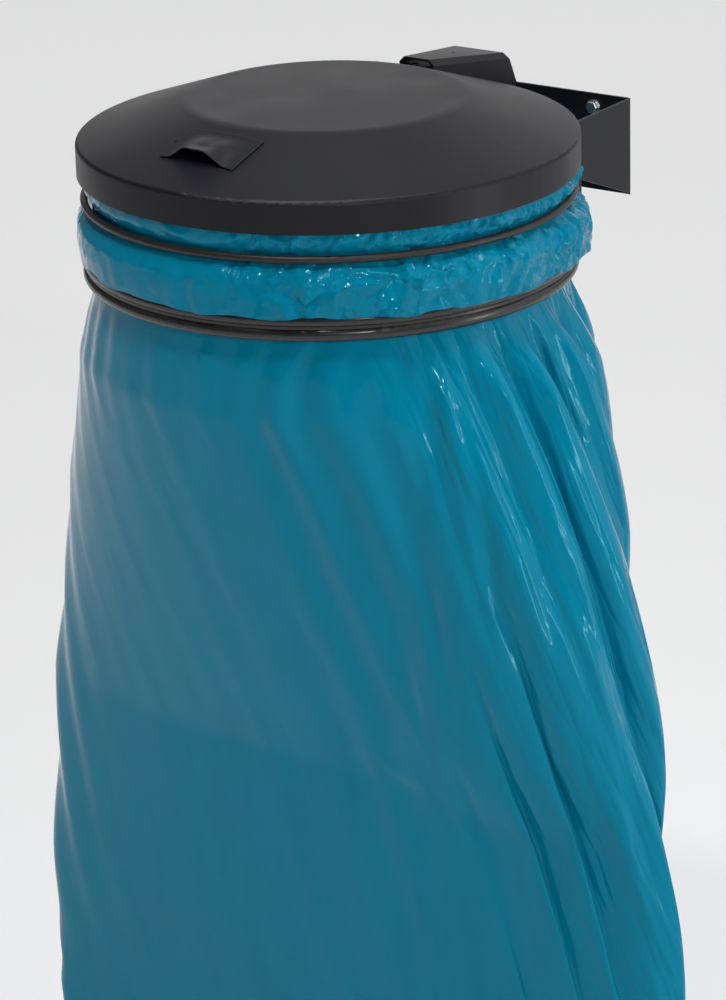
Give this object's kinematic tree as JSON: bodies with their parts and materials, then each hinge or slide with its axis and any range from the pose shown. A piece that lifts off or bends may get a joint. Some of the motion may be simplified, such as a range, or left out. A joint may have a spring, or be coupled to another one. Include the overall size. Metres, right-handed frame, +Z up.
{
  "type": "wall-mounted bag holder",
  "caption": "Wall-mounted holder for a refuse bag: a ring with a ribbed hoop and elastic cord holds the bag open under a round hinged steel lid.",
  "frame": {"origin": "centre of the four wall screws, on the wall plate's rear face", "axes": "+Z up, +Y into the wall, +X to the right seen from the front"},
  "size_m": [0.692, 0.517, 1.0015],
  "materials": {
    "powder_coat": "dark grey fine-textured powder coat, satin",
    "hoop_black": "black enamel, semi-gloss",
    "zinc": "bright zinc-plated steel",
    "cord_rubber": "dark rubber cord, satin",
    "buffer_rubber": "black moulded rubber, matt",
    "bush_plastic": "natural moulded plastic",
    "bag_film": "thin glossy teal polyethylene film, slightly see-through"
  },
  "bodies": {
    "holder": {"wall_bracket": "powder_coat", "wall_washers": "zinc", "wall_screws": "zinc", "drum": "powder_coat", "lower_hoop": "hoop_black", "hoop_lugs": "powder_coat", "lug_bolts": "zinc", "lug_nuts": "zinc", "elastic_cord": "cord_rubber", "cord_sleeve": "zinc", "bag": "bag_film", "hinge_base": "powder_coat", "base_screws": "zinc", "base_nuts": "zinc", "hinge_bushes": "bush_plastic", "stop_buffer": "buffer_rubber"},
    "lid": {"lid_shell": "powder_coat", "lid_handle": "powder_coat", "handle_nuts": "zinc", "lid_buffers": "buffer_rubber", "hinge_arm": "powder_coat", "arm_rivets": "zinc", "hinge_pin": "zinc", "pin_clips": "zinc"}
  },
  "joints": [
    {"name": "lid_hinge", "type": "hinge", "parent": "holder", "child": "lid", "pos_m": [0, -0.044, 0.044], "axis": [-1, 0, 0], "range_deg": [0, 85]}
  ]
}
